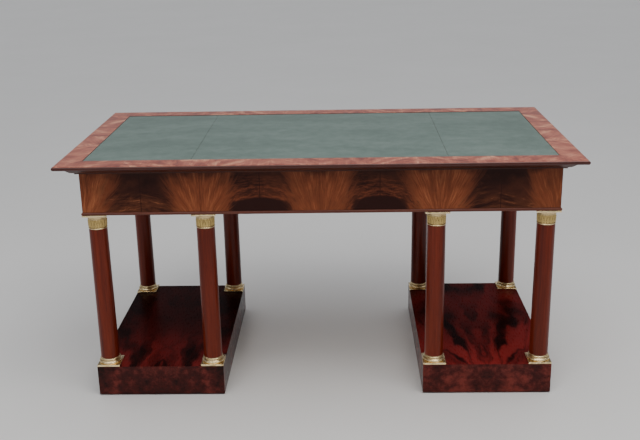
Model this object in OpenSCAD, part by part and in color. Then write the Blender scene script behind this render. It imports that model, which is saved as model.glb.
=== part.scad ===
// Pedestal writing desk in the Empire manner: a leather-lined top over a deep frieze with
// three drawers, carried by eight columns on two box plinths.
// Millimetres. +X runs along the desk, +Y points to the sitter's side, where the drawers
// open, and +Z is up. The origin is on the floor below the middle of the top.

/* [Top] */
// Length of the top over its rounded edge
top_length = 1562; // [1540:2:1600]
// Depth of the top over its rounded edge
top_depth = 806; // [790:2:830]
// Height of the writing surface's border above the floor
top_height = 775; // [765:1:785]
// Thickness of the border boards
border_thickness = 13; // [12:1:15]
// Width of the border boards
border_width = 73; // [70:1:78]
// Thickness of the leather
leather_thickness = 1.2; // [1:0.1:1.6]
// Depth of the leather's surface below the border
leather_drop = 1; // [0.6:0.1:1.4]
// Distance of each leather seam from the middle
seam_offset = 383; // [350:1:420]
// Gap between two pieces of leather
seam_gap = 0.8; // [0.4:0.1:1.2]

/* [Cornice] */
// How far the top's edge stands out over the frieze
overhang = 62; // [60:1:64]
// Height of the cornice moulding
cornice_height = 22; // [20:1:24]
// How far the cornice moulding stands out over the frieze
cornice_reach = 44; // [42:1:46]
// Width of the flat fillet at the foot of the cornice
cornice_foot = 10; // [8:1:14]

/* [Frieze] */
// Height of the frieze between the bead and the cornice
frieze_height = 123; // [120:1:126]
// Thickness of the frieze boards
frieze_board = 22; // [20:1:24]
// Thickness of the base frame, whose edge is the bead
base_frame_thickness = 10; // [9:1:12]
// Width of the base frame's boards
base_frame_width = 76; // [74:1:80]
// How far the bead stands out of the frieze
bead_reach = 3.5; // [2.5:0.5:4.5]

/* [Columns] */
// Diameter of the shaft at its foot
shaft_foot_d = 58.5; // [57:0.5:60]
// Diameter of the shaft at its neck
shaft_neck_d = 56.5; // [55:0.5:58]
// Height of the bronze capital
capital_height = 48; // [46:1:52]
// Side of the capital's square abacus
abacus_side = 74; // [72:1:76]
// Thickness of the abacus
abacus_thickness = 5; // [4:0.5:6]
// Height of the bronze base
base_height = 25; // [24:1:28]
// Side of the base's square plate
base_plate_side = 72; // [70:1:74]
// Thickness of the base's square plate
base_plate_thickness = 6; // [5:0.5:7]
// Distance of the inner columns from the middle of the desk
inner_column_x = 353; // [345:1:360]
// Diameter of the tenons turned on the column ends
tenon_d = 22; // [18:1:24]

/* [Plinths] */
// Height of the plinths' top above the floor
plinth_height = 101; // [96:1:106]
// Thickness of the plinths' side boards
plinth_board = 22; // [20:1:24]
// Thickness of the plinths' top board
plinth_top_thickness = 22; // [20:1:24]
// Thickness of the top board's lip over the side boards
plinth_lip = 3; // [2:0.5:4]
// Height of the glides that lift the plinths off the floor
glide_height = 4; // [3:0.5:6]

/* [Drawers] */
// Depth of a drawer from its face to its back
drawer_depth = 540; // [520:5:560]
// Thickness of the drawer fronts
drawer_front_thickness = 20; // [19:1:21]
// Thickness of the drawer sides
drawer_side_thickness = 10; // [9:1:12]
// Thickness of the drawer bottoms
drawer_bottom_thickness = 7; // [6:1:8]
// Height of the drawer sides
drawer_side_height = 88; // [80:1:92]
// Gap round a drawer front
drawer_gap = 0.8; // [0.6:0.1:1.2]
// Thickness of the partitions between the drawers
partition_thickness = 18; // [16:1:20]
// Distance of the partitions' middle from the middle of the desk
partition_x = 335; // [328:1:340]
// Height of the rail strip seen above and below the drawers
rail_strip = 10; // [9:1:12]

/* [Locks] */
// Width of the lock case
lock_width = 56; // [50:1:60]
// Height of the lock case
lock_height = 46; // [44:1:48]
// Thickness of the lock case
lock_thickness = 11; // [10.5:0.5:12]
// Distance of the key's axis below the top of the lock case
key_drop = 34; // [33:0.5:35]
// Diameter of the key's shank
key_shank_d = 5; // [4.5:0.5:5.5]
// How far the key stands out of the drawer face
key_reach = 44; // [40:1:48]
// Travel of the bolt
bolt_travel = 7; // [6:0.5:8]

/* [Hidden] */
$fn = 96;

// Heights, from the writing surface down
border_z = top_height - border_thickness;
cornice_z = border_z - cornice_height;
frieze_z = cornice_z - frieze_height;
capital_top_z = frieze_z - base_frame_thickness;
leather_z = top_height - leather_drop - leather_thickness;
carcase_rise = 10;
carcase_top_z = cornice_z + carcase_rise;

// Half of the hairline joint between two mitred lengths
mitre_gap = 0.07;
// How far two shapes of one solid reach into each other
overlap = 0.01;

// Half sizes in plan
top_x = top_length / 2;
top_y = top_depth / 2;
frieze_x = top_x - overhang;
frieze_y = top_y - overhang;
bead_x = frieze_x + bead_reach;
bead_y = frieze_y + bead_reach;
board_x = frieze_x - frieze_board;
board_y = frieze_y - frieze_board;

// Columns
abacus_setback = 0.5;
outer_column_x = bead_x - abacus_setback - abacus_side / 2;
column_y = bead_y - abacus_setback - abacus_side / 2;
shaft_foot_z = plinth_height + base_height;
shaft_neck_z = capital_top_z - capital_height;
tenon_play = 0.25;
FACES = [["front", -1], ["back", 1]];
SIDES = [["left", -1], ["right", 1]];
ROWS = [["outer", outer_column_x], ["inner", inner_column_x]];
COLUMNS = [for (f = FACES, s = SIDES, r = ROWS)
    [str("column_", f[0], "_", s[0], "_", r[0]), s[1] * r[1], f[1] * column_y]];

// Plinths
plinth_outer_x = outer_column_x + base_plate_side / 2;
plinth_inner_x = inner_column_x - base_plate_side / 2;
plinth_x = (plinth_outer_x + plinth_inner_x) / 2;
plinth_half_x = (plinth_outer_x - plinth_inner_x) / 2;
plinth_half_y = column_y + base_plate_side / 2;
tenon_depth = plinth_top_thickness - 2;

// Drawer openings
post_width = 39;
post_x = frieze_x - post_width;
post_y = frieze_y - post_width;
rail_depth = 60;
rail_y = frieze_y - rail_depth;
opening_z = frieze_z + rail_strip;
opening_top_z = cornice_z - rail_strip;
partition_out_x = partition_x + partition_thickness / 2;
partition_in_x = partition_x - partition_thickness / 2;
strip_width = 50;
end_strip_width = 32;
corner_block_leg = 45;
guide_height = 45;
running_gap = 0.4;
drawer_face_y = frieze_y - drawer_front_thickness;
drawer_back_y = frieze_y - drawer_depth;
groove_depth = 4;
bottom_z = opening_z + 5;
stop_height = 4.5;
stop_size = [30, 12];
side_z = opening_z + running_gap;
tail_count = 3;
tail_length = 13;
tail_root = 13;
tail_end = 18;
tail_play = 0.05;
back_drop = 6;
glide_size = [80, 28];
glide_inset = [52, 24];
side_drawer_x = (post_x + partition_out_x) / 2;
side_drawer_width = post_x - partition_out_x - 2 * drawer_gap;
centre_drawer_width = 2 * (partition_in_x - drawer_gap);
DRAWERS = [["left", -side_drawer_x, side_drawer_width],
           ["centre", 0, centre_drawer_width],
           ["right", side_drawer_x, side_drawer_width]];

// Locks
front_top_z = opening_top_z - drawer_gap;
lock_wall = 1.5;
lock_z = front_top_z - lock_height;
key_z = front_top_z - key_drop;
keyhole_play = 0.8;
keyhole_d = key_shank_d + 2 * keyhole_play;
bit_reach = 9;
bit_width = 2.4;
bolt_width = 30;
bolt_thickness = 4;
bolt_z = key_z + bit_reach + 1;
mortise_play = 1.5;
lock_y = drawer_face_y;
bolt_y = lock_y + lock_wall + 1;
mortise_half_x = bolt_width / 2 + mortise_play;
mortise_back_y = bolt_y - mortise_play;
mortise_front_y = bolt_y + bolt_thickness + mortise_play;
plate_thickness = 1.2;
plate_d = 20;
plate_end_d = 16;

// Colours
FLAME = [0.42, 0.20, 0.11];
BORDER = [0.62, 0.33, 0.25];
COLUMN_RED = [0.38, 0.13, 0.08];
PLINTH_RED = [0.22, 0.05, 0.04];
LEATHER = [0.25, 0.36, 0.31];
BRONZE = [0.72, 0.60, 0.33];
OAK = [0.66, 0.50, 0.32];
PINE = [0.78, 0.64, 0.44];
STEEL = [0.55, 0.55, 0.53];

// ---- Shared shapes ----

// A box from its low corner to its high corner.
module block(low, high) {
    translate(low) cube(high - low);
}

// Four mitred lengths of a profile round a rectangle. The profile's x runs inwards from the
// outer edge and its y is the height.
module mitred_ring(half_x, half_y, reach, low, high) {
    module wedge(half_length, half_width) {
        a = half_length - mitre_gap;
        b = half_width;
        translate([0, 0, low]) linear_extrude(high - low)
            polygon([[-a, -b], [a, -b], [a - reach, reach - b], [reach - a, reach - b]]);
    }
    for (turn = [0, 1]) mirror([0, turn, 0]) intersection() {
        translate([-half_x, -half_y, 0]) rotate([90, 0, 90])
            linear_extrude(2 * half_x) children();
        wedge(half_x, half_y);
    }
    for (turn = [0, 1]) mirror([turn, 0, 0]) intersection() {
        translate([-half_x, half_y, 0]) rotate([90, 0, 0])
            linear_extrude(2 * half_y) children();
        rotate([0, 0, -90]) wedge(half_y, half_x);
    }
}

// A board's cross-section with a half-round outer edge.
module nosed_section(width, thickness, z) {
    r = thickness / 2;
    translate([r, z]) square([width - r, thickness]);
    translate([r, z + r]) circle(r);
}

// A hole along +Z.
module hole_z(at, d, depth) {
    translate(at) cylinder(d = d, h = depth);
}

// ---- Top ----

screw_inset = 8;
screw_rows = [-230, 60];
SCREWS = [for (s = [-1, 1], x = [partition_x, post_x - screw_inset], y = screw_rows) [s * x, y]];
screw_d = 4;
screw_length = 34;
screw_head_d = 8.5;
screw_head_height = 3;
screw_play = 0.3;

module top_core() color(PINE) difference() {
    union() {
        block([-frieze_x, -frieze_y, carcase_top_z], [frieze_x, frieze_y, border_z]);
        block([border_width - top_x, border_width - top_y, border_z - overlap],
              [top_x - border_width, top_y - border_width, leather_z]);
    }
    for (s = SCREWS)
        hole_z([s[0], s[1], carcase_top_z - 1], screw_d + 2 * screw_play,
               screw_length - (carcase_top_z - opening_top_z) + 3);
}

module top_border() color(BORDER)
    mitred_ring(top_x, top_y, border_width, border_z, top_height)
        nosed_section(border_width, border_thickness, border_z);

module leather(low_x, high_x) color(LEATHER)
    block([low_x, border_width - top_y, leather_z],
          [high_x, top_y - border_width, leather_z + leather_thickness]);

// Section of the cornice: a foot fillet, a step, a rising S-curve and a top fillet. Its x runs
// inwards from the moulding's outermost edge.
module cornice_section() {
    step = 3;
    curve_low = [cornice_foot + 2, step + 1];
    curve_high = [cornice_reach - 2, cornice_height - 3];
    steps = 12;
    curve = [for (i = [0:steps])
        let (t = i / steps, rise = t - sin(360 * t) / 9)
        [curve_low[0] + (curve_high[0] - curve_low[0]) * t,
         curve_low[1] + (curve_high[1] - curve_low[1]) * rise]];
    outline = concat([[0, 0], [cornice_foot, 0], [cornice_foot, step], [curve_low[0], step]],
                     curve,
                     [[cornice_reach, curve_high[1]], [cornice_reach, cornice_height],
                      [0, cornice_height]]);
    translate([0, cornice_z]) polygon([for (p = outline) [cornice_reach - p[0], p[1]]]);
}

module cornice() color(FLAME)
    mitred_ring(frieze_x + cornice_reach, frieze_y + cornice_reach, cornice_reach,
                cornice_z, border_z)
        cornice_section();

// ---- Frieze carcase ----

module frieze_front_board() color(FLAME)
    block([-frieze_x, -frieze_y, frieze_z], [frieze_x, -board_y, carcase_top_z]);

module frieze_end_board(side) color(FLAME) mirror([side < 0 ? 1 : 0, 0, 0])
    block([board_x, -board_y, frieze_z], [frieze_x, post_y, carcase_top_z]);

module corner_post(side) color(FLAME) mirror([side < 0 ? 1 : 0, 0, 0])
    block([post_x, post_y, frieze_z], [frieze_x, frieze_y, carcase_top_z]);

// The rail over the drawers: a back strip, packing pieces in front of it and a lipping over
// them. The gaps between the packing pieces are the mortises of the lock bolts.
module drawer_rail_upper() color(FLAME)
    block([-post_x, rail_y, opening_top_z], [post_x, mortise_back_y, carcase_top_z]);

module rail_packing() color(FLAME) {
    ends = concat([-post_x],
                  [for (d = DRAWERS) each [d[1] - mortise_half_x, d[1] + mortise_half_x]],
                  [post_x]);
    for (i = [0 : 2 : len(ends) - 2])
        block([ends[i], mortise_back_y, opening_top_z],
              [ends[i + 1], mortise_front_y, carcase_top_z]);
}

module rail_lipping() color(FLAME)
    block([-post_x, mortise_front_y, opening_top_z], [post_x, frieze_y, carcase_top_z]);

module drawer_rail_lower() color(FLAME)
    block([-post_x, rail_y, frieze_z], [post_x, frieze_y, opening_z]);

module partition(side) color(OAK) mirror([side < 0 ? 1 : 0, 0, 0])
    block([partition_in_x, -board_y, opening_z], [partition_out_x, frieze_y, opening_top_z]);

module base_frame() color(FLAME) difference() {
    mitred_ring(bead_x, bead_y, base_frame_width, capital_top_z, frieze_z)
        nosed_section(base_frame_width, base_frame_thickness, capital_top_z);
    for (c = COLUMNS)
        hole_z([c[1], c[2], capital_top_z - 1], tenon_d + 2 * tenon_play,
               base_frame_thickness + 2);
}

module cross_rails() color(FLAME) for (s = [-1, 1])
    translate([s * inner_column_x - base_frame_width / 2, base_frame_width - bead_y,
               capital_top_z])
        cube([base_frame_width, 2 * (bead_y - base_frame_width), base_frame_thickness]);

// Strips over or under the drawer sides: one at each end, and a shared one at each partition.
module drawer_strips(low, high) {
    for (s = [-1, 1]) {
        block([s * partition_x - strip_width / 2, -board_y, low],
              [s * partition_x + strip_width / 2, rail_y, high]);
        translate([s * (board_x - end_strip_width / 2) - end_strip_width / 2, -board_y, low])
            cube([end_strip_width, rail_y + board_y, high - low]);
    }
}

module drawer_runners() color(OAK) drawer_strips(frieze_z, opening_z);

module drawer_kickers() color(OAK) difference() {
    drawer_strips(opening_top_z, carcase_top_z);
    for (s = SCREWS) {
        hole_z([s[0], s[1], opening_top_z - 1], screw_d + 2 * screw_play, screw_length);
        hole_z([s[0], s[1], opening_top_z - 1], screw_head_d + 2 * screw_play,
               screw_head_height + 2);
    }
}

module drawer_guides() color(OAK) for (s = [-1, 1])
    translate([s * (board_x + post_x) / 2 - (board_x - post_x) / 2,
               corner_block_leg - board_y, opening_z])
        cube([board_x - post_x, post_y + board_y - corner_block_leg, guide_height]);

// Small blocks on the lower rail that a closing drawer front meets.
module drawer_stops() color(OAK) for (d = DRAWERS, s = [-1, 1])
    translate([d[1] + s * d[2] / 4 - stop_size[0] / 2,
               drawer_face_y - running_gap - stop_size[1], opening_z])
        cube([stop_size[0], stop_size[1], stop_height]);

module corner_blocks() color(PINE) for (s = [-1, 1]) mirror([s < 0 ? 1 : 0, 0, 0])
    translate([board_x, -board_y, opening_z]) linear_extrude(opening_top_z - opening_z)
        polygon([[0, 0], [-corner_block_leg, 0], [0, corner_block_leg]]);

module top_screws() color(STEEL) for (s = SCREWS)
    translate([s[0], s[1], opening_top_z]) {
        cylinder(d = screw_head_d, h = screw_head_height);
        cylinder(d = screw_d, h = screw_length);
    }

// ---- Columns ----

// A tapered shaft with a round tenon at each end.
module column(place) color(COLUMN_RED) translate([place[1], place[2], 0]) {
    translate([0, 0, shaft_foot_z])
        cylinder(d1 = shaft_foot_d, d2 = shaft_neck_d, h = shaft_neck_z - shaft_foot_z);
    translate([0, 0, plinth_height - tenon_depth])
        cylinder(d = tenon_d, h = shaft_foot_z - plinth_height + tenon_depth);
    translate([0, 0, shaft_neck_z]) cylinder(d = tenon_d, h = frieze_z - shaft_neck_z);
}

module turned(bore_d) rotate_extrude() intersection() {
    translate([bore_d / 2, 0]) square([60, 80]);
    children();
}

// Section of the capital: astragal, drum, small bead and a flare up to the abacus.
module capital_section() {
    neck_r = shaft_neck_d / 2;
    drum_r = neck_r - 0.5;
    astragal_r = 2.2;
    bead_height = 2;
    flare_r = 8;
    flare_height = 10;
    flare_rise = 1;
    flare_z = capital_height - abacus_thickness - flare_height;
    square([drum_r, flare_z]);
    translate([neck_r + 0.6 - astragal_r, astragal_r]) circle(astragal_r);
    translate([0, flare_z - bead_height]) square([neck_r + 0.6, bead_height]);
    difference() {
        translate([0, flare_z]) square([drum_r + flare_r, flare_height]);
        translate([drum_r + flare_r, flare_z - flare_rise]) circle(flare_r);
    }
}

module capitals(side) color(BRONZE)
    for (c = COLUMNS) if (c[1] * side > 0) translate([c[1], c[2], shaft_neck_z]) {
        turned(tenon_d + 2 * tenon_play) capital_section();
        translate([0, 0, capital_height - abacus_thickness]) difference() {
            translate([-abacus_side / 2, -abacus_side / 2, 0])
                cube([abacus_side, abacus_side, abacus_thickness]);
            hole_z([0, 0, -1], tenon_d + 2 * tenon_play, abacus_thickness + 2);
        }
    }

// Section of the base over its plate: large torus, hollow, small torus and a neck ring.
module base_section() {
    foot_r = shaft_foot_d / 2;
    torus_r = 4.5;
    torus_x = base_plate_side / 2 - 0.5 - torus_r;
    hollow_r = 2;
    hollow_x = foot_r + 2.8;
    small_r = 2.2;
    torus_top = base_plate_thickness + 2 * torus_r;
    square([foot_r + 0.6, base_height]);
    square([torus_x, torus_top]);
    translate([torus_x, base_plate_thickness + torus_r]) circle(torus_r);
    difference() {
        square([hollow_x - 0.2, torus_top + 2 * hollow_r]);
        translate([hollow_x, torus_top + hollow_r]) circle(hollow_r);
    }
    translate([foot_r + 0.3, torus_top + 2 * hollow_r + small_r]) circle(small_r);
}

module bases(side) color(BRONZE)
    for (c = COLUMNS) if (c[1] * side > 0) translate([c[1], c[2], plinth_height]) {
        turned(tenon_d + 2 * tenon_play) base_section();
        difference() {
            translate([-base_plate_side / 2, -base_plate_side / 2, 0])
                cube([base_plate_side, base_plate_side, base_plate_thickness]);
            hole_z([0, 0, -1], tenon_d + 2 * tenon_play, base_plate_thickness + 2);
        }
    }

// ---- Plinths ----

module plinth_boards(side) color(PLINTH_RED) translate([side * plinth_x, 0, 0])
    mitred_ring(plinth_half_x, plinth_half_y, plinth_board, glide_height,
                plinth_height - plinth_lip)
        translate([0, glide_height])
            square([plinth_board, plinth_height - plinth_lip - glide_height]);

// The polished top board, let in between the side boards with a thin lip over them.
module plinth_top(side) color(PLINTH_RED) difference() {
    translate([side * plinth_x, 0, 0]) {
        block([-plinth_half_x, -plinth_half_y, plinth_height - plinth_lip],
              [plinth_half_x, plinth_half_y, plinth_height]);
        block([plinth_board - plinth_half_x, plinth_board - plinth_half_y,
               plinth_height - plinth_top_thickness],
              [plinth_half_x - plinth_board, plinth_half_y - plinth_board,
               plinth_height - plinth_lip + overlap]);
    }
    for (c = COLUMNS)
        hole_z([c[1], c[2], plinth_height - tenon_depth], tenon_d + 2 * tenon_play,
               tenon_depth + 1);
}

module plinth_glides() color(PLINTH_RED)
    for (s = [-1, 1], x = [-1, 1], y = [-1, 1])
        translate([s * plinth_x + x * (plinth_half_x - glide_inset[0]) - glide_size[0] / 2,
                   y * (plinth_half_y - glide_inset[1]) - glide_size[1] / 2, 0])
            cube([glide_size[0], glide_size[1], glide_height]);

// ---- Drawers ----

module keyhole_section(play) {
    circle(d = key_shank_d + 2 * play);
    translate([-bit_width / 2 - play, -bit_reach - play])
        square([bit_width + 2 * play, bit_reach + play]);
}

// A keyhole along Y, through a front or a plate.
module keyhole(x, low_y, high_y, play) {
    translate([x, high_y, key_z]) rotate([90, 0, 0])
        linear_extrude(high_y - low_y) keyhole_section(play);
}

// The tails on the front ends of a drawer's sides, or with play the sockets for them.
module dovetails(x, width, play) for (s = [-1, 1], i = [1 : tail_count])
    translate([x + s * (width - drawer_side_thickness) / 2 - drawer_side_thickness / 2 - play,
               drawer_face_y, side_z + drawer_side_height * i / (tail_count + 1)])
        rotate([90, 0, 90]) linear_extrude(drawer_side_thickness + 2 * play)
            polygon([[-overlap - play, -tail_root / 2 - play],
                     [tail_length + play, -tail_end / 2 - play],
                     [tail_length + play, tail_end / 2 + play],
                     [-overlap - play, tail_root / 2 + play]]);

module drawer_front(x, width) color(FLAME) difference() {
    block([x - width / 2, drawer_face_y, opening_z + drawer_gap],
          [x + width / 2, frieze_y, front_top_z]);
    block([x - lock_width / 2, drawer_face_y - 1, lock_z],
          [x + lock_width / 2, drawer_face_y + lock_thickness, front_top_z + 1]);
    block([x - width / 2 + drawer_side_thickness - groove_depth, drawer_face_y - 1, bottom_z],
          [x + width / 2 - drawer_side_thickness + groove_depth, drawer_face_y + groove_depth,
           bottom_z + drawer_bottom_thickness]);
    dovetails(x, width, tail_play);
    keyhole(x, drawer_face_y, frieze_y + 1, keyhole_play);
}

// Two grooved sides with their tails, and the back, which stands on the bottom.
module drawer_box(x, width) color(OAK) {
    dovetails(x, width, 0);
    for (s = [-1, 1]) translate([x, 0, 0]) mirror([s < 0 ? 1 : 0, 0, 0]) difference() {
        block([width / 2 - drawer_side_thickness, drawer_back_y, side_z],
              [width / 2, drawer_face_y, side_z + drawer_side_height]);
        block([width / 2 - drawer_side_thickness - 1, drawer_back_y - 1, bottom_z],
              [width / 2 - drawer_side_thickness + groove_depth, drawer_face_y + 1,
               bottom_z + drawer_bottom_thickness]);
    }
    block([x - width / 2 + drawer_side_thickness, drawer_back_y,
           bottom_z + drawer_bottom_thickness],
          [x + width / 2 - drawer_side_thickness, drawer_back_y + drawer_side_thickness,
           side_z + drawer_side_height - back_drop]);
}

module drawer_bottom(x, width) color(PINE)
    block([x - width / 2 + drawer_side_thickness - groove_depth, drawer_back_y, bottom_z],
          [x + width / 2 - drawer_side_thickness + groove_depth, drawer_face_y + groove_depth,
           bottom_z + drawer_bottom_thickness]);

// ---- Locks ----

// The hollow case in the back of the drawer front, and the keyhole plate on its face.
module drawer_lock(x) color(BRONZE) {
    difference() {
        block([x - lock_width / 2, lock_y, lock_z],
              [x + lock_width / 2, lock_y + lock_thickness, front_top_z]);
        block([x - lock_width / 2 + lock_wall, lock_y + lock_wall, lock_z + lock_wall],
              [x + lock_width / 2 - lock_wall, lock_y + lock_thickness - lock_wall,
               front_top_z - lock_wall]);
        block([x - bolt_width / 2 - running_gap, bolt_y - running_gap, front_top_z - 5],
              [x + bolt_width / 2 + running_gap, bolt_y + bolt_thickness + running_gap,
               front_top_z + 1]);
        keyhole(x, lock_y + lock_thickness - lock_wall - 1, lock_y + lock_thickness + 1,
                keyhole_play);
    }
    difference() {
        translate([x, frieze_y + plate_thickness, key_z - bit_reach / 3]) rotate([90, 0, 0])
            linear_extrude(plate_thickness) {
                circle(d = plate_d);
                for (s = [-1, 1]) translate([0, s * plate_d / 4]) circle(d = plate_end_d);
            }
        keyhole(x, frieze_y - 1, frieze_y + plate_thickness + 1, keyhole_play - 0.2);
    }
}

module drawer_bolt(x) color(STEEL)
    block([x - bolt_width / 2, bolt_y, bolt_z],
          [x + bolt_width / 2, bolt_y + bolt_thickness, front_top_z - 0.4]);

// A key with a ring bow, a collar, a round shank and a bit that hangs down.
module drawer_key(x) color(STEEL) translate([x, 0, key_z]) {
    bow_r = 9;
    bow_wire = 2.4;
    collar_size = [key_shank_d + 3, 3];
    collar_y = frieze_y + 12;
    bit_length = 5;
    tip_y = lock_y + lock_wall + 0.7;
    bow_y = frieze_y + key_reach - bow_r - bow_wire;
    translate([0, bow_y - bow_r, 0]) rotate([90, 0, 0])
        cylinder(d = key_shank_d, h = bow_y - bow_r - tip_y);
    translate([0, collar_y, 0]) rotate([90, 0, 0])
        cylinder(d = collar_size[0], h = collar_size[1]);
    translate([0, bow_y, 0]) rotate([0, 90, 0])
        rotate_extrude() translate([bow_r, 0]) circle(bow_wire);
    translate([-bit_width / 2, tip_y, -bit_reach])
        cube([bit_width, bit_length, bit_reach]);
}

// ---- The nodes ----

top_core();
top_border();
leather(border_width - top_x, -seam_offset - seam_gap / 2);  // leather_left
leather(-seam_offset + seam_gap / 2, seam_offset - seam_gap / 2);  // leather_centre
leather(seam_offset + seam_gap / 2, top_x - border_width);  // leather_right
cornice();
frieze_front_board();
frieze_end_board(-1);  // frieze_left_board
frieze_end_board(1);  // frieze_right_board
corner_post(-1);  // corner_post_left
corner_post(1);  // corner_post_right
drawer_rail_upper();
rail_packing();
rail_lipping();
drawer_rail_lower();
partition(-1);  // partition_left
partition(1);  // partition_right
base_frame();
cross_rails();
drawer_runners();
drawer_guides();
drawer_kickers();
drawer_stops();
corner_blocks();
top_screws();
for (c = COLUMNS) column(c);
capitals(-1);  // capitals_left
capitals(1);  // capitals_right
bases(-1);  // bases_left
bases(1);  // bases_right
plinth_boards(-1);  // plinth_left_boards
plinth_top(-1);  // plinth_left_top
plinth_boards(1);  // plinth_right_boards
plinth_top(1);  // plinth_right_top
plinth_glides();
for (d = DRAWERS) {
    drawer_front(d[1], d[2]);
    drawer_box(d[1], d[2]);
    drawer_bottom(d[1], d[2]);
    drawer_lock(d[1]);
    drawer_bolt(d[1]);
    drawer_key(d[1]);
}
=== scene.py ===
"""Looks of the pedestal writing desk: flame mahogany, green leather and gilt bronze around the
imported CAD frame. Metres, in the frame's own axes: +X along the desk, +Y to the drawer side."""

import math

import bmesh
import bpy
from mathutils import Matrix, Vector, noise


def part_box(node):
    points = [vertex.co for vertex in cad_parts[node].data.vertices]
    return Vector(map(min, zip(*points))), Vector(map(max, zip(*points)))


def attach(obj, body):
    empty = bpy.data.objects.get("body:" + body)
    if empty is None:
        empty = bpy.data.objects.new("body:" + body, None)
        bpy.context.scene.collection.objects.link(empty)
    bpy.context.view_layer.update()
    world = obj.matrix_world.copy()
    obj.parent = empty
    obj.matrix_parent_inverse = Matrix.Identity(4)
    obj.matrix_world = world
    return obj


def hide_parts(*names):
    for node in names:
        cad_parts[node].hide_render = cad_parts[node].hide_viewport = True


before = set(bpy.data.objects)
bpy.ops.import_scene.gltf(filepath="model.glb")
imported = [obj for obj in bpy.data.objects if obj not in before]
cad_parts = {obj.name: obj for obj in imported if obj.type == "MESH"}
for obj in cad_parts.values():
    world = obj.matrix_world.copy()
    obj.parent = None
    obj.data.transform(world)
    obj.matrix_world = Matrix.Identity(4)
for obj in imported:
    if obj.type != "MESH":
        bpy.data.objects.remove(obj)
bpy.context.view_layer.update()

MM = 0.001
X, Y, Z = range(3)


# ---- The desk's own places, read from the frame ----

def high(node, axis):
    """The far end of a node's box along an axis."""
    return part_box(node)[1][axis]


def low(node, axis):
    """The near end of a node's box along an axis."""
    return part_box(node)[0][axis]


def middle(node):
    lo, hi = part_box(node)
    return (Vector(lo) + Vector(hi)) / 2


COLUMNS = sorted(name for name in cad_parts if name.startswith("column_"))
DRAWERS = ("left", "centre", "right")
FRIEZE_X = high("frieze_front_board", X)
FRIEZE_Y = -low("frieze_front_board", Y)
FRIEZE_LOW = low("frieze_front_board", Z)
FRIEZE_HEIGHT = low("cornice", Z) - FRIEZE_LOW
LEATHER_X = high("leather_right", X)
LEATHER_Y = high("leather_right", Y)
PLINTH_X = middle("plinth_right_top").x
PLINTH_HALF_X = high("plinth_right_top", X) - PLINTH_X
PLINTH_Y = high("plinth_right_top", Y)
CAPITAL_LOW, CAPITAL_TOP = low("capitals_left", Z), high("capitals_left", Z)
BASE_LOW, BASE_TOP = low("bases_left", Z), high("bases_left", Z)

# The gilt mounts. Heights are above the foot of the capital.
NECK_R = 28.25 * MM
FOOT_R = high("column_front_left_outer", Y) - middle("column_front_left_outer").y
ABACUS_THICKNESS = 5 * MM
BASE_PLATE_THICKNESS = 6 * MM
PLATE_EDGE = 0.7 * MM
DRUM_LOW, DRUM_HIGH = 6 * MM, 30 * MM
DRUM_ROWS = 40
LEAVES = 10
LEAF_RELIEF = 2.1 * MM
PEARLS = 40
PEARL_HEIGHT = 32 * MM
PEARL_R = 1.3 * MM
PEARL_RELIEF = 1.1 * MM
CAPITAL_SEGMENTS = 240
BASE_SEGMENTS = 128


# ---- Camera and light ----

# Places of the colour sockets on a Mix node, which has several with the same name.
MIX_COLOUR_A, MIX_COLOUR_B, MIX_COLOUR_OUT = 6, 7, 2
# And of its number sockets.
MIX_NUMBER_A, MIX_NUMBER_B, MIX_NUMBER_OUT = 2, 3, 0


def add_camera():
    """The camera at the photograph's angle. Yaw turns towards +X, pitch up, roll clockwise."""
    place = Vector((0.0724, -3.0052, 1.4502))
    yaw, pitch, roll = -0.0275, -0.3137, -0.0192
    ahead = Vector((math.sin(yaw) * math.cos(pitch), math.cos(yaw) * math.cos(pitch),
                    math.sin(pitch)))
    level = Vector((math.cos(yaw), -math.sin(yaw), 0))
    over = level.cross(ahead)
    right = math.cos(roll) * level + math.sin(roll) * over
    up = math.cos(roll) * over - math.sin(roll) * level
    data = bpy.data.cameras.new("camera")
    data.sensor_width = 36
    data.lens = 52.29
    camera = bpy.data.objects.new("camera", data)
    camera.matrix_world = Matrix.Translation(place) @ Matrix((right, up, -ahead)).transposed().to_4x4()
    bpy.context.scene.collection.objects.link(camera)
    bpy.context.scene.camera = camera


def add_lamp(name, place, target, size, power, colour):
    """A soft rectangular lamp that shines from its place towards the target."""
    data = bpy.data.lights.new(name, "AREA")
    data.shape = "RECTANGLE"
    data.size, data.size_y = size
    data.energy = power
    data.color = colour
    lamp = bpy.data.objects.new(name, data)
    lamp.location = place
    lamp.rotation_euler = (Vector(target) - Vector(place)).to_track_quat("-Z", "Y").to_euler()
    bpy.context.scene.collection.objects.link(lamp)


def add_lights():
    add_lamp("ceiling", (0.9, -1.4, 3.1), (0, 0, 0.4), (2.4, 1.6), 44, (1.0, 0.97, 0.93))
    add_lamp("front_fill", (-1.2, -2.7, 2.9), (0, 0, 0.5), (1.6, 1.4), 24, (1.0, 0.98, 0.96))


def fill_ramp(node, stops):
    """Sets a colour ramp's stops, each a position and a colour."""
    elements = node.color_ramp.elements
    while len(elements) < len(stops):
        elements.new(0.5)
    for element, (position, colour) in zip(elements, stops):
        element.position = position
        element.color = (*colour, 1)


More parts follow.
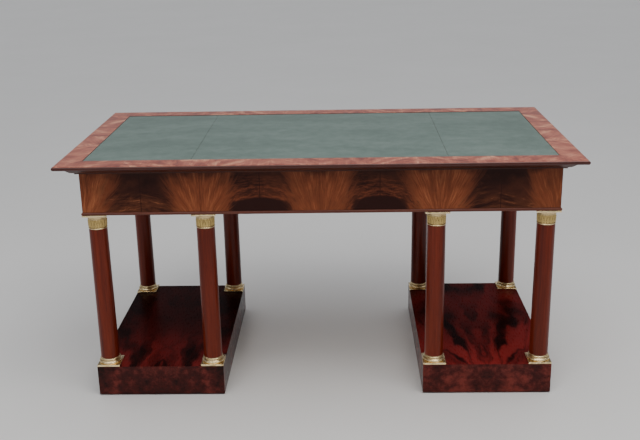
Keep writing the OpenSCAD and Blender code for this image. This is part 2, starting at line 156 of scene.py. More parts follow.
def add_world():
    """A pale room as light: a wall low all round, brightest behind the desk, a dim band above
    it and a bright ceiling. The ramps run on the height of the direction."""
    world = bpy.data.worlds.new("studio")
    bpy.context.scene.world = world
    world.use_nodes = True
    nodes, links = world.node_tree.nodes, world.node_tree.links
    place = nodes.new("ShaderNodeTexCoord")
    parts = nodes.new("ShaderNodeSeparateXYZ")
    links.new(place.outputs["Generated"], parts.inputs[0])
    horizon, dim, ceiling = (0.44, 0.44, 0.45), (0.08, 0.08, 0.085), (1.30, 1.32, 1.35)
    front_wall, back_wall = (0.14, 0.145, 0.15), (0.48, 0.50, 0.54)
    above = ((0.36, dim), (0.60, dim), (0.84, ceiling))
    walls = nodes.new("ShaderNodeMix")
    walls.data_type = "RGBA"
    for socket, wall in ((MIX_COLOUR_A, front_wall), (MIX_COLOUR_B, back_wall)):
        ramp = nodes.new("ShaderNodeValToRGB")
        fill_ramp(ramp, ((0.0, horizon), (0.24, wall)) + above)
        links.new(parts.outputs["Z"], ramp.inputs[0])
        links.new(ramp.outputs[0], walls.inputs[socket])
    behind = nodes.new("ShaderNodeMapRange")
    behind.inputs["From Min"].default_value = -0.4
    behind.inputs["From Max"].default_value = 0.5
    links.new(parts.outputs["Y"], behind.inputs["Value"])
    links.new(behind.outputs[0], walls.inputs[0])
    links.new(walls.outputs[MIX_COLOUR_OUT], nodes["Background"].inputs["Color"])
    nodes["Background"].inputs["Strength"].default_value = 1.0


# ---- Shader building ----

class Shader:
    """One material's node tree. Every method takes sockets or plain numbers."""

    def __init__(self, name, **settings):
        self.material = bpy.data.materials.new(name)
        self.material.use_nodes = True
        self.tree = self.material.node_tree
        self.surface = self.tree.nodes["Principled BSDF"]
        for socket, value in settings.items():
            self.set(socket.replace("_", " ").title().replace("Ior", "IOR"), value)

    def set(self, socket, value):
        """Feeds one input of the surface shader."""
        self.feed(self.surface.inputs[socket], value)

    def feed(self, socket, value):
        """Links a socket's output into an input, or sets the input to a constant."""
        if isinstance(value, bpy.types.NodeSocket):
            self.tree.links.new(value, socket)
        elif isinstance(value, (tuple, list)) and socket.type == "RGBA" and len(value) == 3:
            socket.default_value = (*value, 1)
        else:
            socket.default_value = value

    def node(self, kind, **settings):
        made = self.tree.nodes.new("ShaderNode" + kind)
        for key, value in settings.items():
            setattr(made, key, value)
        return made

    def place(self):
        """X, Y and Z of the point in the part's own frame, which moves with its body."""
        parts = self.node("SeparateXYZ")
        self.feed(parts.inputs[0], self.node("TexCoord").outputs["Object"])
        return parts.outputs

    def facing(self):
        """X, Y and Z of the surface's direction in the part's own frame."""
        parts = self.node("SeparateXYZ")
        self.feed(parts.inputs[0], self.node("TexCoord").outputs["Normal"])
        return parts.outputs

    def math(self, operation, a, b=0.0):
        made = self.node("Math", operation=operation)
        for socket, value in zip(made.inputs, (a, b)):
            self.feed(socket, value)
        return made.outputs[0]

    def add(self, a, b):
        return self.math("ADD", a, b)

    def sub(self, a, b):
        return self.math("SUBTRACT", a, b)

    def mul(self, a, b):
        return self.math("MULTIPLY", a, b)

    def div(self, a, b):
        return self.math("DIVIDE", a, b)

    def size(self, a):
        """The number without its sign."""
        return self.math("ABSOLUTE", a)

    def step(self, value, start, end):
        """0 below start, 1 above end, smooth between. start may be above end."""
        made = self.node("MapRange", interpolation_type="SMOOTHSTEP")
        for name, number in (("Value", value), ("From Min", start), ("From Max", end)):
            self.feed(made.inputs[name], number)
        return made.outputs[0]

    def point(self, x=0.0, y=0.0, z=0.0):
        made = self.node("CombineXYZ")
        for socket, value in zip(made.inputs, (x, y, z)):
            self.feed(socket, value)
        return made.outputs[0]

    def noise(self, point, scale=1.0, detail=3.0, roughness=0.55, distortion=0.0):
        made = self.node("TexNoise")
        for name, value in (("Vector", point), ("Scale", scale), ("Detail", detail),
                            ("Roughness", roughness), ("Distortion", distortion)):
            self.feed(made.inputs[name], value)
        return made.outputs["Fac"]

    def cells(self, point, scale):
        """Distance to the nearest of many scattered points."""
        made = self.node("TexVoronoi", feature="F1")
        self.feed(made.inputs["Vector"], point)
        self.feed(made.inputs["Scale"], scale)
        return made.outputs["Distance"]

    def mix(self, share, a, b):
        """A colour between a and b."""
        made = self.node("Mix", data_type="RGBA")
        self.feed(made.inputs[0], share)
        self.feed(made.inputs[MIX_COLOUR_A], a)
        self.feed(made.inputs[MIX_COLOUR_B], b)
        return made.outputs[MIX_COLOUR_OUT]

    def blend(self, share, a, b):
        """A number between a and b."""
        made = self.node("Mix", data_type="FLOAT")
        self.feed(made.inputs[0], share)
        self.feed(made.inputs[MIX_NUMBER_A], a)
        self.feed(made.inputs[MIX_NUMBER_B], b)
        return made.outputs[MIX_NUMBER_OUT]

    def ramp(self, share, *stops):
        made = self.node("ValToRGB")
        fill_ramp(made, stops)
        self.feed(made.inputs[0], share)
        return made.outputs[0]

    def bump(self, height, distance, strength):
        made = self.node("Bump")
        self.feed(made.inputs["Height"], height)
        self.feed(made.inputs["Distance"], distance)
        self.feed(made.inputs["Strength"], strength)
        self.set("Normal", made.outputs[0])


# ---- Woods ----

# The mahogany of the frieze, from its knots to its brightest threads.
DARK = (0.0225, 0.0028, 0.0011)
BROWN = (0.070, 0.0165, 0.0068)
FLAME = (0.225, 0.0540, 0.0205)
SPARK = (0.390, 0.128, 0.052)


def flame_veneer():
    """Crotch mahogany in book-matched leaves. Light plumes and dark knots take turns at the
    joints: a plume fans out from the frieze's foot. The inner knots are dark humps under arching
    fibres, the outermost ones dark clouds over a brown foot."""
    m = Shader("flame_veneer", specular_ior_level=0.22, ior=1.4, coat_weight=0.03,
               coat_roughness=0.15)
    x, y, z = m.place()
    on_end = m.math("GREATER_THAN", m.size(m.facing()[X]), 0.7)
    along = m.blend(on_end, x, y)
    leaf = m.blend(on_end, FRIEZE_X / 4, FRIEZE_Y / 2)
    count = m.div(along, leaf)
    across = m.math("PINGPONG", count, 1.0)
    rise = m.div(m.sub(z, FRIEZE_LOW), FRIEZE_HEIGHT)
    plume_no = m.mul(m.math("ROUND", m.div(count, 2.0)), 3.7)
    pair = m.math("FLOOR", m.div(count, 2.0))
    knot_no = m.mul(pair, 2.9)
    clouded = m.math("GREATER_THAN", m.size(m.add(pair, 0.5)), 1.0)
    drift = m.noise(m.point(m.mul(across, 1.7), m.mul(rise, 1.2), plume_no), detail=3)
    bent = m.add(across, m.mul(m.sub(drift, 0.5), 0.14))

    # Plume: its fibres fan out from below the foot.
    ray = m.div(bent, m.math("POWER", m.add(rise, 0.42), 0.85))
    rays = m.noise(m.point(m.mul(ray, 10), m.mul(rise, 0.9), plume_no), detail=4, roughness=0.6)
    threads = m.noise(m.point(m.mul(ray, 58), m.mul(rise, 2.6), plume_no), detail=3)
    edge = m.add(m.mul(rise, 0.16), 0.40)
    ragged = m.add(m.add(bent, m.mul(m.sub(rays, 0.5), 0.60)), m.mul(m.sub(threads, 0.5), 0.34))
    plume = m.step(m.sub(ragged, edge), 0.14, -0.10)

    # Knot: a dark hump on the foot, with fibres arching over it.
    aside = m.div(m.sub(1.0, across), 0.50)
    sway = m.noise(m.point(m.mul(across, 2.6), m.mul(rise, 2.0), knot_no), detail=5,
                   roughness=0.65)
    aside_bent = m.add(aside, m.mul(m.sub(sway, 0.5), 0.6))
    hump = m.math("SQRT", m.add(m.mul(aside_bent, aside_bent),
                                m.math("POWER", m.div(rise, 0.36), 2.0)))
    arches = m.noise(m.point(m.mul(hump, 4.0), m.mul(aside, 1.6), knot_no), detail=5,
                     roughness=0.62)
    wisps = m.noise(m.point(m.mul(hump, 17.0), m.mul(aside, 5.0), knot_no), detail=4,
                    roughness=0.65)
    outside = m.step(hump, 0.88, 1.08)
    glow = m.step(m.add(m.mul(arches, 0.55), m.mul(wisps, 0.45)), 0.43, 0.62)
    clouds = m.noise(m.point(m.mul(along, 11), m.mul(rise, 1.5), knot_no), detail=5)
    humped = m.mix(outside, DARK, m.mix(m.step(clouds, 0.38, 0.60), DARK, BROWN))
    humped = m.mix(m.mul(m.mul(glow, outside), m.blend(m.step(hump, 2.8, 1.1), 0.20, 0.80)),
                   humped, FLAME)

    # Cloud: dark nearly all the way up, with brown wood and light tips at the foot.
    flecks = m.noise(m.point(m.mul(along, 17), m.add(m.mul(rise, 10), m.mul(aside, 1.5)),
                             knot_no), detail=5, roughness=0.65, distortion=0.5)
    low_down = m.step(m.add(rise, m.mul(m.sub(clouds, 0.5), 1.6)), 0.62, 0.14)
    clouded_wood = m.mix(m.step(clouds, 0.42, 0.70), DARK, BROWN)
    clouded_wood = m.mix(m.mul(low_down, m.step(flecks, 0.34, 0.64)), clouded_wood,
                         (0.105, 0.029, 0.0110))
    clouded_wood = m.mix(m.mul(m.mul(low_down, 0.6), m.step(flecks, 0.58, 0.70)), clouded_wood,
                         SPARK)
    shade = m.mix(clouded, humped, clouded_wood)

    light = m.ramp(m.add(m.mul(rays, 0.5), m.mul(threads, 0.5)),
                   (0.36, (0.125, 0.033, 0.0120)), (0.50, FLAME), (0.65, SPARK))
    light = m.mix(m.mul(m.step(clouds, 0.55, 0.35), 0.35), light, (0.100, 0.026, 0.0095))
    # Painted shadow of the cornice: the top of the frieze is darkened towards DARK, broken up by the
    # clouds of the figure.
    painted_cornice_shadow = m.mul(m.step(m.add(rise, m.mul(m.sub(sway, 0.5), 0.4)), 0.78, 1.0),
                      m.step(clouds, 0.44, 0.60))
    colour = m.mix(m.mul(painted_cornice_shadow, 0.75), m.mix(plume, shade, light), DARK)

    # The leaf joints and the short fibres of the wood.
    joint = m.step(m.math("MINIMUM", across, m.sub(1.0, across)), 0.010, 0.003)
    colour = m.mix(m.mul(joint, m.blend(m.step(across, 0.4, 0.6), 0.35, 0.85)), colour, DARK)
    fibre = m.noise(m.point(m.mul(along, 520), m.mul(on_end, y), m.mul(z, 60)), detail=2)
    colour = m.mix(m.mul(m.step(fibre, 0.54, 0.78), 0.40), colour, DARK)
    m.set("Base Color", colour)
    m.set("Roughness", m.blend(fibre, 0.30, 0.50))
    m.bump(m.noise(m.point(m.mul(along, 45), m.mul(rise, 1.0), m.mul(z, 25)), detail=2),
           0.00015, 0.3)
    return m.material


def long_grain(name, colours, axis, roughness=0.34, coat=0.12, coat_roughness=0.14, scale=1.0,
               specular=0.25, ior=1.5, stain_and_shade=None):
    """Straight-grained wood with its fibres along one axis. colours run dark to light.
    stain_and_shade is an axis, a place on it and a colour: past that place the wood has the colour, a
    real brown edge on the oak partitions and painted shade on the pine core."""
    m = Shader(name, specular_ior_level=specular, ior=ior, coat_weight=coat,
               coat_roughness=coat_roughness)
    stretch = [55 * scale] * 3
    stretch[axis] = 2.2 * scale
    scaled = [m.mul(value, factor) for value, factor in zip(m.place(), stretch)]
    point = m.point(*scaled)
    bands = m.noise(point, 0.35, detail=4, roughness=0.6, distortion=0.5)
    streaks = m.noise(point, 2.2, detail=4, roughness=0.65)
    pores = m.noise(point, 9.0, detail=2)
    dark, medium, light = colours
    colour = m.ramp(m.add(m.mul(bands, 0.6), m.mul(streaks, 0.4)),
                    (0.34, dark), (0.50, medium), (0.68, light))
    colour = m.mix(m.mul(m.step(pores, 0.57, 0.72), 0.6), colour, dark)
    if stain_and_shade:
        tint_axis, start, tint = stain_and_shade
        tinted = m.step(m.place()[tint_axis], start - 0.5 * MM, start)
        colour = m.mix(tinted, colour, tint)
    m.set("Base Color", colour)
    m.set("Roughness", m.blend(pores, roughness * 0.8, roughness * 1.3))
    m.bump(pores, 0.0002, 0.3)
    return m.material


def border_veneer():
    """Crossbanded border: the figure runs across each board, aslant, and the corners are
    mitred. The rounded edge below is solid and darker."""
    m = Shader("border_veneer", specular_ior_level=0.5, ior=1.45, coat_weight=0.10,
               coat_roughness=0.16)
    x, y, _ = m.place()
    past_x = m.sub(m.size(x), LEATHER_X)
    past_y = m.sub(m.size(y), LEATHER_Y)
    on_side = m.math("GREATER_THAN", past_x, past_y)
    along = m.blend(on_side, x, y)
    across = m.blend(on_side, m.size(y), m.size(x))
    leaf_width = 145 * MM
    leaf = m.math("FLOOR", m.div(along, leaf_width))
    slant = m.add(along, m.mul(across, m.math("SINE", m.mul(leaf, 2.1))))
    seed = m.add(m.mul(leaf, 4.3), on_side)
    broad = m.noise(m.point(m.mul(slant, 15), m.mul(across, 11), seed), detail=4, distortion=1.0)
    mottle = m.noise(m.point(m.mul(slant, 46), m.mul(across, 24), seed), detail=5,
                     roughness=0.62, distortion=1.2)
    streaks = m.noise(m.point(m.mul(along, 260), m.mul(across, 14), seed), detail=3)
    share = m.add(m.add(m.mul(broad, 0.45), m.mul(mottle, 0.40)), m.mul(streaks, 0.15))
    top = m.ramp(share, (0.38, (0.150, 0.024, 0.014)), (0.46, (0.290, 0.063, 0.036)),
                 (0.54, (0.440, 0.132, 0.078)), (0.63, (0.700, 0.330, 0.195)))
    rim = m.mix(broad, (0.030, 0.0034, 0.0016), (0.085, 0.0105, 0.0048))
    upward = m.step(m.facing()[Z], 0.62, 0.97)
    m.set("Base Color", m.mix(upward, rim, top))
    m.set("Roughness", m.blend(mottle, 0.24, 0.44))
    m.bump(streaks, 0.0001, 0.25)
    return m.material


def plinth_veneer():
    """Very dark mahogany: a wine-red plume along the top, mottled mirrored sides."""
    m = Shader("plinth_veneer", specular_ior_level=0.12, ior=1.2, coat_roughness=0.06)
    x, y, z = m.place()
    facing = m.facing()
    from_middle = m.size(m.sub(m.size(x), PLINTH_X))
    which = m.mul(m.math("SIGN", x), 2.3)
    # Painted light: the right plinth, on the lit side, is coloured redder and lighter than the left.
    painted_right_light = m.blend(m.math("GREATER_THAN", x, 0.0), 0.65, 1.0)

    # Top: a plume along the desk's depth, with dark fibres spreading from its stem.
    stem = m.div(from_middle, PLINTH_HALF_X)
    run = m.div(m.add(y, PLINTH_Y), 2 * PLINTH_Y)
    warp = m.noise(m.point(m.mul(stem, 2.0), m.mul(run, 3.0), which), detail=3)
    ray = m.div(m.add(stem, m.mul(m.sub(warp, 0.5), 0.8)), m.add(run, 0.45))
    rays = m.noise(m.point(m.mul(ray, 2.8), m.mul(run, 3), which), detail=2, roughness=0.5)
    glow = m.noise(m.point(m.mul(stem, 1.2), m.mul(run, 2.6), m.add(which, 7)), detail=1)
    reach = m.step(m.add(run, m.mul(m.sub(glow, 0.5), 0.5)), m.mul(painted_right_light, 0.95), 0.10)
    red_share = m.mul(m.step(rays, 0.34, 0.66), m.blend(reach, 0.20, 1.0))
    plain = m.mix(m.step(painted_right_light, 0.7, 0.9), (0.022, 0.0028, 0.0021), (0.110, 0.0085, 0.0080))
    top = m.mix(m.step(rays, 0.30, 0.62), (0.012, 0.0018, 0.0014), plain)
    top = m.mix(m.mul(red_share, painted_right_light), top, (0.190, 0.0165, 0.0155))

    # Sides: mottled figure, mirrored about each face's middle.
    on_end = m.math("GREATER_THAN", m.size(facing[X]), 0.7)
    along = m.blend(on_end, from_middle, m.size(y))
    mottle = m.noise(m.point(m.mul(along, 44), m.mul(z, 50), which), detail=6, roughness=0.72)
    broad = m.noise(m.point(m.mul(along, 9), m.mul(z, 5), which), detail=3)
    share = m.add(m.add(m.mul(mottle, 0.45), m.mul(broad, 0.55)), m.mul(painted_right_light, 0.10))
    side = m.ramp(share, (0.47, (0.015, 0.0024, 0.0018)), (0.58, (0.060, 0.0080, 0.0062)),
                  (0.70, (0.185, 0.0300, 0.0220)))
    upward = m.step(facing[Z], 0.6, 0.8)
    m.set("Base Color", m.mix(upward, side, top))
    m.set("Coat Weight", m.blend(upward, 0.30, 0.02))
    fibre = m.noise(m.point(m.mul(x, 300), m.mul(y, 40), m.mul(z, 40)), detail=2)
    m.set("Roughness", m.blend(fibre, 0.20, 0.38))
    m.bump(m.noise(m.point(m.mul(x, 14), m.mul(y, 14), m.mul(z, 14)), detail=2), 0.0004, 0.12)
    return m.material


# ---- Leather and metals ----

def green_leather():
    """Old green hide: cloudy wear, small spots and a fine grain of pits."""
    m = Shader("green_leather", roughness=0.5, sheen_weight=0.12, sheen_roughness=0.5)
    x, y, z = m.place()
    point = m.point(x, y, z)
    wear = m.noise(m.point(m.mul(x, 0.7), m.mul(y, 1.8), z), 6.0, detail=5, roughness=0.62)
    spots = m.noise(point, 34.0, detail=3)
    grain = m.cells(point, 850)
    base = m.ramp(m.add(m.mul(wear, 0.6), m.mul(spots, 0.4)),
                  (0.38, (0.084, 0.132, 0.112)), (0.50, (0.108, 0.161, 0.139)),
                  (0.62, (0.134, 0.190, 0.168)))
    m.set("Base Color", m.mix(m.mul(m.step(grain, 0.55, 0.15), 0.25), base, (0.06, 0.085, 0.073)))
    m.set("Roughness", m.blend(wear, 0.40, 0.58))
    m.bump(m.add(m.mul(grain, -0.5), m.mul(spots, 0.5)), 0.00035, 0.5)
    return m.material


def gilt_bronze():
    """Mercury gilding: bright on the plain mouldings, matt on the leaves, with painted shade, dark
    brown, in the hollows.
    """
    m = Shader("gilt_bronze", metallic=1.0, roughness=0.3)
    x, y, z = m.place()
    point = m.point(x, y, z)
    # Painted shade: the hollows, where pointiness is low, are coloured dark brown; they are also
    # rougher.
    hollow = m.node("NewGeometry").outputs["Pointiness"]
    tarnish = m.noise(point, 60, detail=4)
    unshaded = m.step(m.add(hollow, m.mul(m.sub(tarnish, 0.5), 0.04)), 0.455, 0.515)
    up_drum = m.sub(z, CAPITAL_LOW)
    matt = m.mul(m.step(up_drum, DRUM_LOW - MM, DRUM_LOW),
                 m.step(up_drum, DRUM_HIGH + MM, DRUM_HIGH))
    bright = m.mix(matt, (0.95, 0.76, 0.44), (0.70, 0.51, 0.20))
    colour = m.mix(unshaded, (0.20, 0.120, 0.038), bright)
    colour = m.mix(m.mul(m.step(tarnish, 0.50, 0.64), 0.60), colour, (0.38, 0.26, 0.11))
    m.set("Base Color", colour)
    m.set("Roughness", m.blend(m.mul(unshaded, m.sub(1.0, m.mul(matt, 0.5))), 0.52, 0.24))
    m.bump(m.noise(point, 900, detail=2), 0.0001, 0.3)
    return m.material


def worn_metal(name, dark, light, roughness):
    """Bare metal, dark where dirt stays and light where hands rub it."""
    m = Shader(name, metallic=1.0)
    point = m.point(*m.place())
    rub = m.noise(point, 120, detail=4)
    m.set("Base Color", m.mix(m.step(rub, 0.35, 0.65), dark, light))
    m.set("Roughness", m.blend(rub, roughness * 0.7, roughness * 1.4))
    m.bump(m.noise(point, 1500, detail=2), 0.00005, 0.4)
    return m.material


def floor_paint():
    m = Shader("floor_paint", roughness=0.45)
    point = m.point(*m.place())
    cloud = m.noise(point, 0.9, detail=4)
    m.set("Base Color", m.mix(cloud, (0.74, 0.735, 0.72), (0.81, 0.80, 0.79)))
    m.set("Roughness", m.blend(m.noise(point, 6, detail=4), 0.34, 0.55))
    return m.material


# ---- Meshes ----

def add_piece(name, mesh, material):
    """Makes one piece from a bmesh and hangs it on the desk's body."""
    bmesh.ops.recalc_face_normals(mesh, faces=mesh.faces)
    data = bpy.data.meshes.new(name)
    mesh.to_mesh(data)
    mesh.free()
    data.materials.append(material)
    data.shade_smooth()
    data.set_sharp_from_angle(angle=math.radians(38))
    piece = bpy.data.objects.new(name, data)
    bpy.context.scene.collection.objects.link(piece)
    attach(piece, "desk")
    return piece


def grid_faces(mesh, rows, closed):
    """Quads between equally long rows of vertices. closed joins each row's end to its start."""
    for a, b in zip(rows, rows[1:]):
        count = len(a)
        for i in range(count if closed else count - 1):
            j = (i + 1) % count
            mesh.faces.new((a[i], a[j], b[j], b[i]))


def lathe(mesh, centre, profile, segments, relief=None):
    """Turns a profile of (radius, height) points. relief(angle, height) swells the radius."""
    rows = []
    for radius, height in profile:
        row = []
        for i in range(segments):
            angle = 2 * math.pi * i / segments
            swelled = radius + (relief(angle, height) if relief else 0)
            row.append(mesh.verts.new(centre + Vector((swelled * math.cos(angle),
                                                       swelled * math.sin(angle), height))))
        rows.append(row)
    grid_faces(mesh, rows, True)
    mesh.faces.new(list(reversed(rows[0])))
    mesh.faces.new(rows[-1])


def slab(mesh, centre, side, thickness, round_edge):
    """A square plate with rounded edges, its lower face at the centre's height."""
    made = bmesh.ops.create_cube(mesh, size=1.0)["verts"]
    for v in made:
        v.co = centre + Vector((v.co.x * side, v.co.y * side, (v.co.z + 0.5) * thickness))
    edges = list({e for v in made for e in v.link_edges})
    bmesh.ops.bevel(mesh, geom=edges, offset=round_edge, segments=3, affect="EDGES", profile=0.5)


def arc(centre_r, centre_h, radius, start, end, points=9):
    """Points of a circular arc in a lathe profile, from start to end in degrees."""
    angles = [math.radians(start + (end - start) * i / (points - 1)) for i in range(points)]
    return [(centre_r + radius * math.cos(a), centre_h + radius * math.sin(a)) for a in angles]


def leaf_height(turn, rise, width):
    """Relief of one upright leaf, 0 to 1. turn is -1 to 1 over its cell, rise 0 to 1."""
    if rise < 0 or rise > 1:
        return 0.0
    scallop = 1 + 0.10 * math.cos(rise * math.pi * 8)
    half = width * scallop * (0.62 + 0.38 * math.sin(math.pi * min(1, rise * 1.5))) \
        * math.sqrt(max(0, 1 - rise ** 3))
    inside = max(0.0, min(1.0, (half - abs(turn)) * 5))
    rib = math.exp(-(turn / 0.07) ** 2)
    veins = 0.5 + 0.5 * math.cos((abs(turn) * 1.6 + rise) * 30)
    curl = 0.35 * max(0, rise - 0.75) / 0.25
    return inside * (0.55 + 0.25 * rib + 0.12 * veins + curl)


def capital_relief(angle, height):
    """Two ranks of upright leaves round the drum and a row of pearls above them."""
    if DRUM_LOW < height < DRUM_HIGH:
        rise = (height - DRUM_LOW) / (DRUM_HIGH - DRUM_LOW)
        share = angle / (2 * math.pi) * LEAVES
        front_top, front_width, back_width, back_relief = 0.92, 0.62, 0.50, 0.62
        front = leaf_height(2 * (share % 1) - 1, rise / front_top, front_width)
        back = leaf_height(2 * ((share + 0.5) % 1) - 1, rise, back_width)
        return LEAF_RELIEF * max(front, back_relief * back)
    off = abs(height - PEARL_HEIGHT) / PEARL_R
    if off < 1:
        return PEARL_RELIEF * math.sqrt(1 - off * off) * abs(math.cos(angle * PEARLS / 2))
    return 0.0


def capital(name, foot, height, abacus_side, material):
    """Gilt capital: astragal, leafy drum, pearls, flare and square abacus."""
    mesh = bmesh.new()
    flare_top = height - ABACUS_THICKNESS
    flare_r, flare_low = 7.2 * MM, 34.7 * MM
    astragal_r = 2.2 * MM
    rises = [i / (DRUM_ROWS - 1) for i in range(DRUM_ROWS)]
    drum = [(NECK_R + (0.4 * rise - 1.0) * MM, DRUM_LOW + (DRUM_HIGH - DRUM_LOW) * rise)
            for rise in rises]
    pearls = [(NECK_R - 0.4 * MM, PEARL_HEIGHT + i / 4 * PEARL_R) for i in range(-4, 5)]
    profile = [(NECK_R - 4 * MM, 0.0), (NECK_R - 0.6 * MM, 0.0)]
    profile += arc(NECK_R - 1.4 * MM, astragal_r, astragal_r, -70, 75, 11)
    profile += [(NECK_R - 1.2 * MM, 4.8 * MM)] + drum + pearls
    profile += arc(NECK_R + 0.2 * MM + flare_r, flare_low, flare_r, 180, 98, 11)
    profile += [(NECK_R + 0.3 * MM + flare_r, flare_top - 0.8 * MM),
                (NECK_R + 0.3 * MM + flare_r, flare_top)]
    lathe(mesh, foot, profile, CAPITAL_SEGMENTS, capital_relief)
    slab(mesh, foot + Vector((0, 0, flare_top)), abacus_side, ABACUS_THICKNESS, PLATE_EDGE)
    return add_piece(name, mesh, material)


def column_base(name, foot, height, plate_side, material):
    """Gilt base: square plate, large torus, hollow, small torus and neck ring."""
    mesh = bmesh.new()
    slab(mesh, foot, plate_side, BASE_PLATE_THICKNESS, PLATE_EDGE)
    torus_r, hollow_r, small_torus_r = 4.5 * MM, 1.9 * MM, 2.0 * MM
    torus_top = BASE_PLATE_THICKNESS + 2 * torus_r
    torus_middle_r = plate_side / 2 - 0.5 * MM - torus_r
    profile = [(FOOT_R - 3 * MM, BASE_PLATE_THICKNESS)]
    profile += arc(torus_middle_r, BASE_PLATE_THICKNESS + torus_r, torus_r, -88, 85, 15)
    profile += [(FOOT_R + 1.6 * MM, torus_top + 0.2 * MM)]
    profile += arc(FOOT_R + 2.8 * MM, torus_top + 2.2 * MM, hollow_r, 240, 120, 9)
    profile += [(FOOT_R + 1.6 * MM, torus_top + 4.0 * MM)]
    profile += arc(FOOT_R + 0.3 * MM, torus_top + 6.1 * MM, small_torus_r, -80, 80, 11)
    profile += [(FOOT_R + 0.4 * MM, height - 0.4 * MM), (FOOT_R + 0.2 * MM, height),
                (FOOT_R - 3 * MM, height)]
    lathe(mesh, foot, profile, BASE_SEGMENTS)
    return add_piece(name, mesh, material)


def spread(start, end, edge_steps, count):
    """Places from start to end: a few close to each end, as edge_steps, and count between."""
    inner_start, inner_end = start + edge_steps[-1], end - edge_steps[-1]
    near = [start] + [start + s for s in edge_steps[:-1]]
    far = [end - s for s in reversed(edge_steps[:-1])] + [end]
    between = [inner_start + (inner_end - inner_start) * i / count for i in range(count + 1)]
    return near + between + far


def leather_skin(name, node, material):
    """A hide with softly rolled edges and a slight unevenness, in the CAD panel's place."""
    lo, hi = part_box(node)
    roll_depth, roll_width = 0.75 * MM, 1.1 * MM
    unevenness = 0.10 * MM
    hide_drop = 0.08 * MM
    steps = [0.4 * MM, 0.9 * MM, 1.8 * MM, 3.5 * MM, 8 * MM]
    xs = spread(lo[X], hi[X], steps, 46)
    ys = spread(lo[Y], hi[Y], steps, 40)
    mesh = bmesh.new()

    def height(x, y):
        from_edge = min(x - lo[X], hi[X] - x, y - lo[Y], hi[Y] - y)
        roll = roll_depth * math.exp(-from_edge / roll_width)
        uneven = unevenness * noise.noise(Vector((x * 9, y * 9, 0.3)))
        return hi[Z] - roll - hide_drop + uneven

    top = [[mesh.verts.new((x, y, height(x, y))) for x in xs] for y in ys]
    grid_faces(mesh, top, False)
    rim = top[0] + [row[-1] for row in top[1:]] + list(reversed(top[-1][:-1])) \
        + [row[0] for row in reversed(top[1:-1])]
    under = [mesh.verts.new((v.co.x, v.co.y, lo[Z])) for v in rim]
    grid_faces(mesh, [rim, under], True)
    mesh.faces.new(under)
    return add_piece(name, mesh, material)


# ---- Dressing the CAD nodes ----

# A wider bevel than this folds over itself round a keyhole.
KEYHOLE_SAFE_EDGE = 0.1 * MM


def dress(nodes, material, edge=None):
    """Gives CAD nodes a material, and rounds their sharp edges by edge metres."""
    for name in nodes:
        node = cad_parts[name]
        for slot in node.material_slots:
            slot.material = material
        if edge:
            weld = node.modifiers.new("weld", "WELD")
            weld.merge_threshold = 0.01 * MM
            bevel = node.modifiers.new("edges", "BEVEL")
            bevel.width = edge
            bevel.segments = 2
            bevel.limit_method = "ANGLE"
            bevel.angle_limit = math.radians(40)


def drawer_nodes(*kinds):
    """Names of the nodes of these kinds in all three drawers."""
    return [f"drawer_{drawer}_{kind}" for drawer in DRAWERS for kind in kinds]


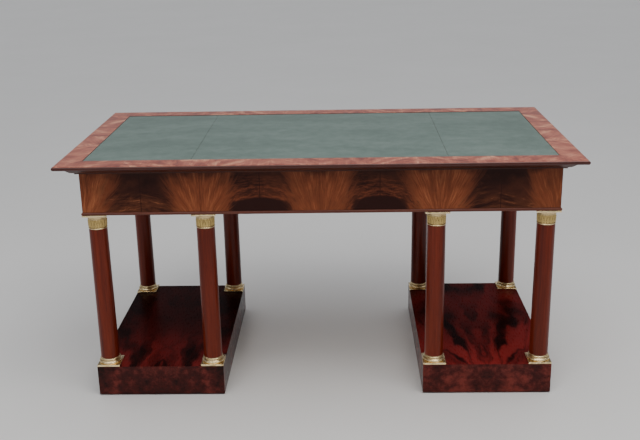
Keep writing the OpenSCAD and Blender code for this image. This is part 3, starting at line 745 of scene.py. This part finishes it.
def dress_wood():
    flame = flame_veneer()
    dress(["frieze_front_board", "frieze_left_board", "frieze_right_board"], flame)
    dress(["corner_post_left", "corner_post_right", "drawer_rail_upper", "rail_packing",
           "rail_lipping", "drawer_rail_lower"], flame)
    dress(drawer_nodes("front"), flame, KEYHOLE_SAFE_EDGE)
    dress(["top_border"], border_veneer())

    mouldings = long_grain("moulding_mahogany", ((0.022, 0.0042, 0.0022), (0.055, 0.0120, 0.0060),
                                                 (0.110, 0.0270, 0.0125)), X)
    dress(["cornice"], mouldings)
    # Painted highlight: the bead and cross rails take the mouldings' mahogany coloured about twice as
    # light.
    bead = long_grain("bead_mahogany_painted_highlight", ((0.060, 0.0130, 0.0075), (0.130, 0.0320, 0.0170),
                                        (0.230, 0.0620, 0.0310)), X, coat=0.3, ior=1.4)
    dress(["base_frame", "cross_rails"], bead)
    columns = long_grain("column_mahogany", ((0.062, 0.0056, 0.0017), (0.132, 0.0135, 0.0034),
                                             (0.210, 0.0270, 0.0075)), Z, roughness=0.30,
                        coat=0.12, coat_roughness=0.10, ior=1.4)
    dress(COLUMNS, columns)
    plinth = plinth_veneer()
    dress(["plinth_left_boards", "plinth_right_boards", "plinth_glides"], plinth)
    dress(["plinth_left_top", "plinth_right_top"], plinth, 0.8 * MM)

    oak_tones = ((0.20, 0.115, 0.052), (0.31, 0.19, 0.095), (0.40, 0.265, 0.145))
    planed_oak = {"roughness": 0.5, "coat": 0.1, "coat_roughness": 0.4, "scale": 0.8}
    oak = long_grain("oak", oak_tones, Y, **planed_oak)
    dress(drawer_nodes("box") + ["drawer_runners", "drawer_guides", "drawer_stops"], oak, 0.4 * MM)
    dress(["drawer_kickers"], oak)
    faced = long_grain("faced_oak", oak_tones, Y, **planed_oak,
                       stain_and_shade=(Y, FRIEZE_Y - 0.5 * MM, BROWN))
    dress(["partition_left", "partition_right"], faced)
    pine_tones = ((0.36, 0.21, 0.10), (0.47, 0.31, 0.165), (0.56, 0.40, 0.23))
    bare_pine = {"roughness": 0.6, "coat": 0, "coat_roughness": 0.5, "scale": 0.6}
    dress(drawer_nodes("bottom"), long_grain("pine", pine_tones, X, **bare_pine))
    # Painted shade: from the border's underside up the core is coloured near black, which darkens the
    # seams round the leather.
    dress(["top_core"], long_grain("pine_painted_seam_shade", pine_tones, X, **bare_pine,
                                   stain_and_shade=(Z, low("top_border", Z), DARK)))
    dress(["corner_blocks"], long_grain("pine_blocks", pine_tones, Z, **bare_pine))


def dress_metal():
    dress(drawer_nodes("lock"), worn_metal("lock_brass", (0.33, 0.22, 0.085),
                                           (0.62, 0.46, 0.21), 0.32), KEYHOLE_SAFE_EDGE)
    dress(drawer_nodes("bolt", "key") + ["top_screws"],
          worn_metal("filed_steel", (0.16, 0.155, 0.15), (0.42, 0.41, 0.39), 0.36))


def add_gilt_mounts():
    """Each capital and base, in the place of its CAD solid."""
    gilt = gilt_bronze()
    for column in COLUMNS:
        side = "left" if "left" in column else "right"
        centre = middle(column)
        abacus_side = 2 * (high("capitals_left", Y) - abs(centre.y))
        plate_side = 2 * (high("bases_left", Y) - abs(centre.y))
        where = column.removeprefix("column_")
        top = capital(f"capital_{where}", Vector((centre.x, centre.y, CAPITAL_LOW)),
                      CAPITAL_TOP - CAPITAL_LOW, abacus_side, gilt)
        foot = column_base(f"base_{where}", Vector((centre.x, centre.y, BASE_LOW)),
                           BASE_TOP - BASE_LOW, plate_side, gilt)
        for piece, node in ((top, f"capitals_{side}"), (foot, f"bases_{side}")):
            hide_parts(node)


def add_leather():
    hide = green_leather()
    for panel in ("left", "centre", "right"):
        skin = leather_skin(f"leather_{panel}_hide", f"leather_{panel}", hide)
        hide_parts(f"leather_{panel}")


def add_floor():
    half_side = 40
    mesh = bmesh.new()
    bmesh.ops.create_grid(mesh, x_segments=1, y_segments=1, size=half_side)
    data = bpy.data.meshes.new("floor")
    mesh.to_mesh(data)
    mesh.free()
    data.materials.append(floor_paint())
    floor = bpy.data.objects.new("floor", data)
    bpy.context.scene.collection.objects.link(floor)


add_camera()
add_world()
add_lights()
add_floor()
dress_wood()
dress_metal()
add_gilt_mounts()
add_leather()
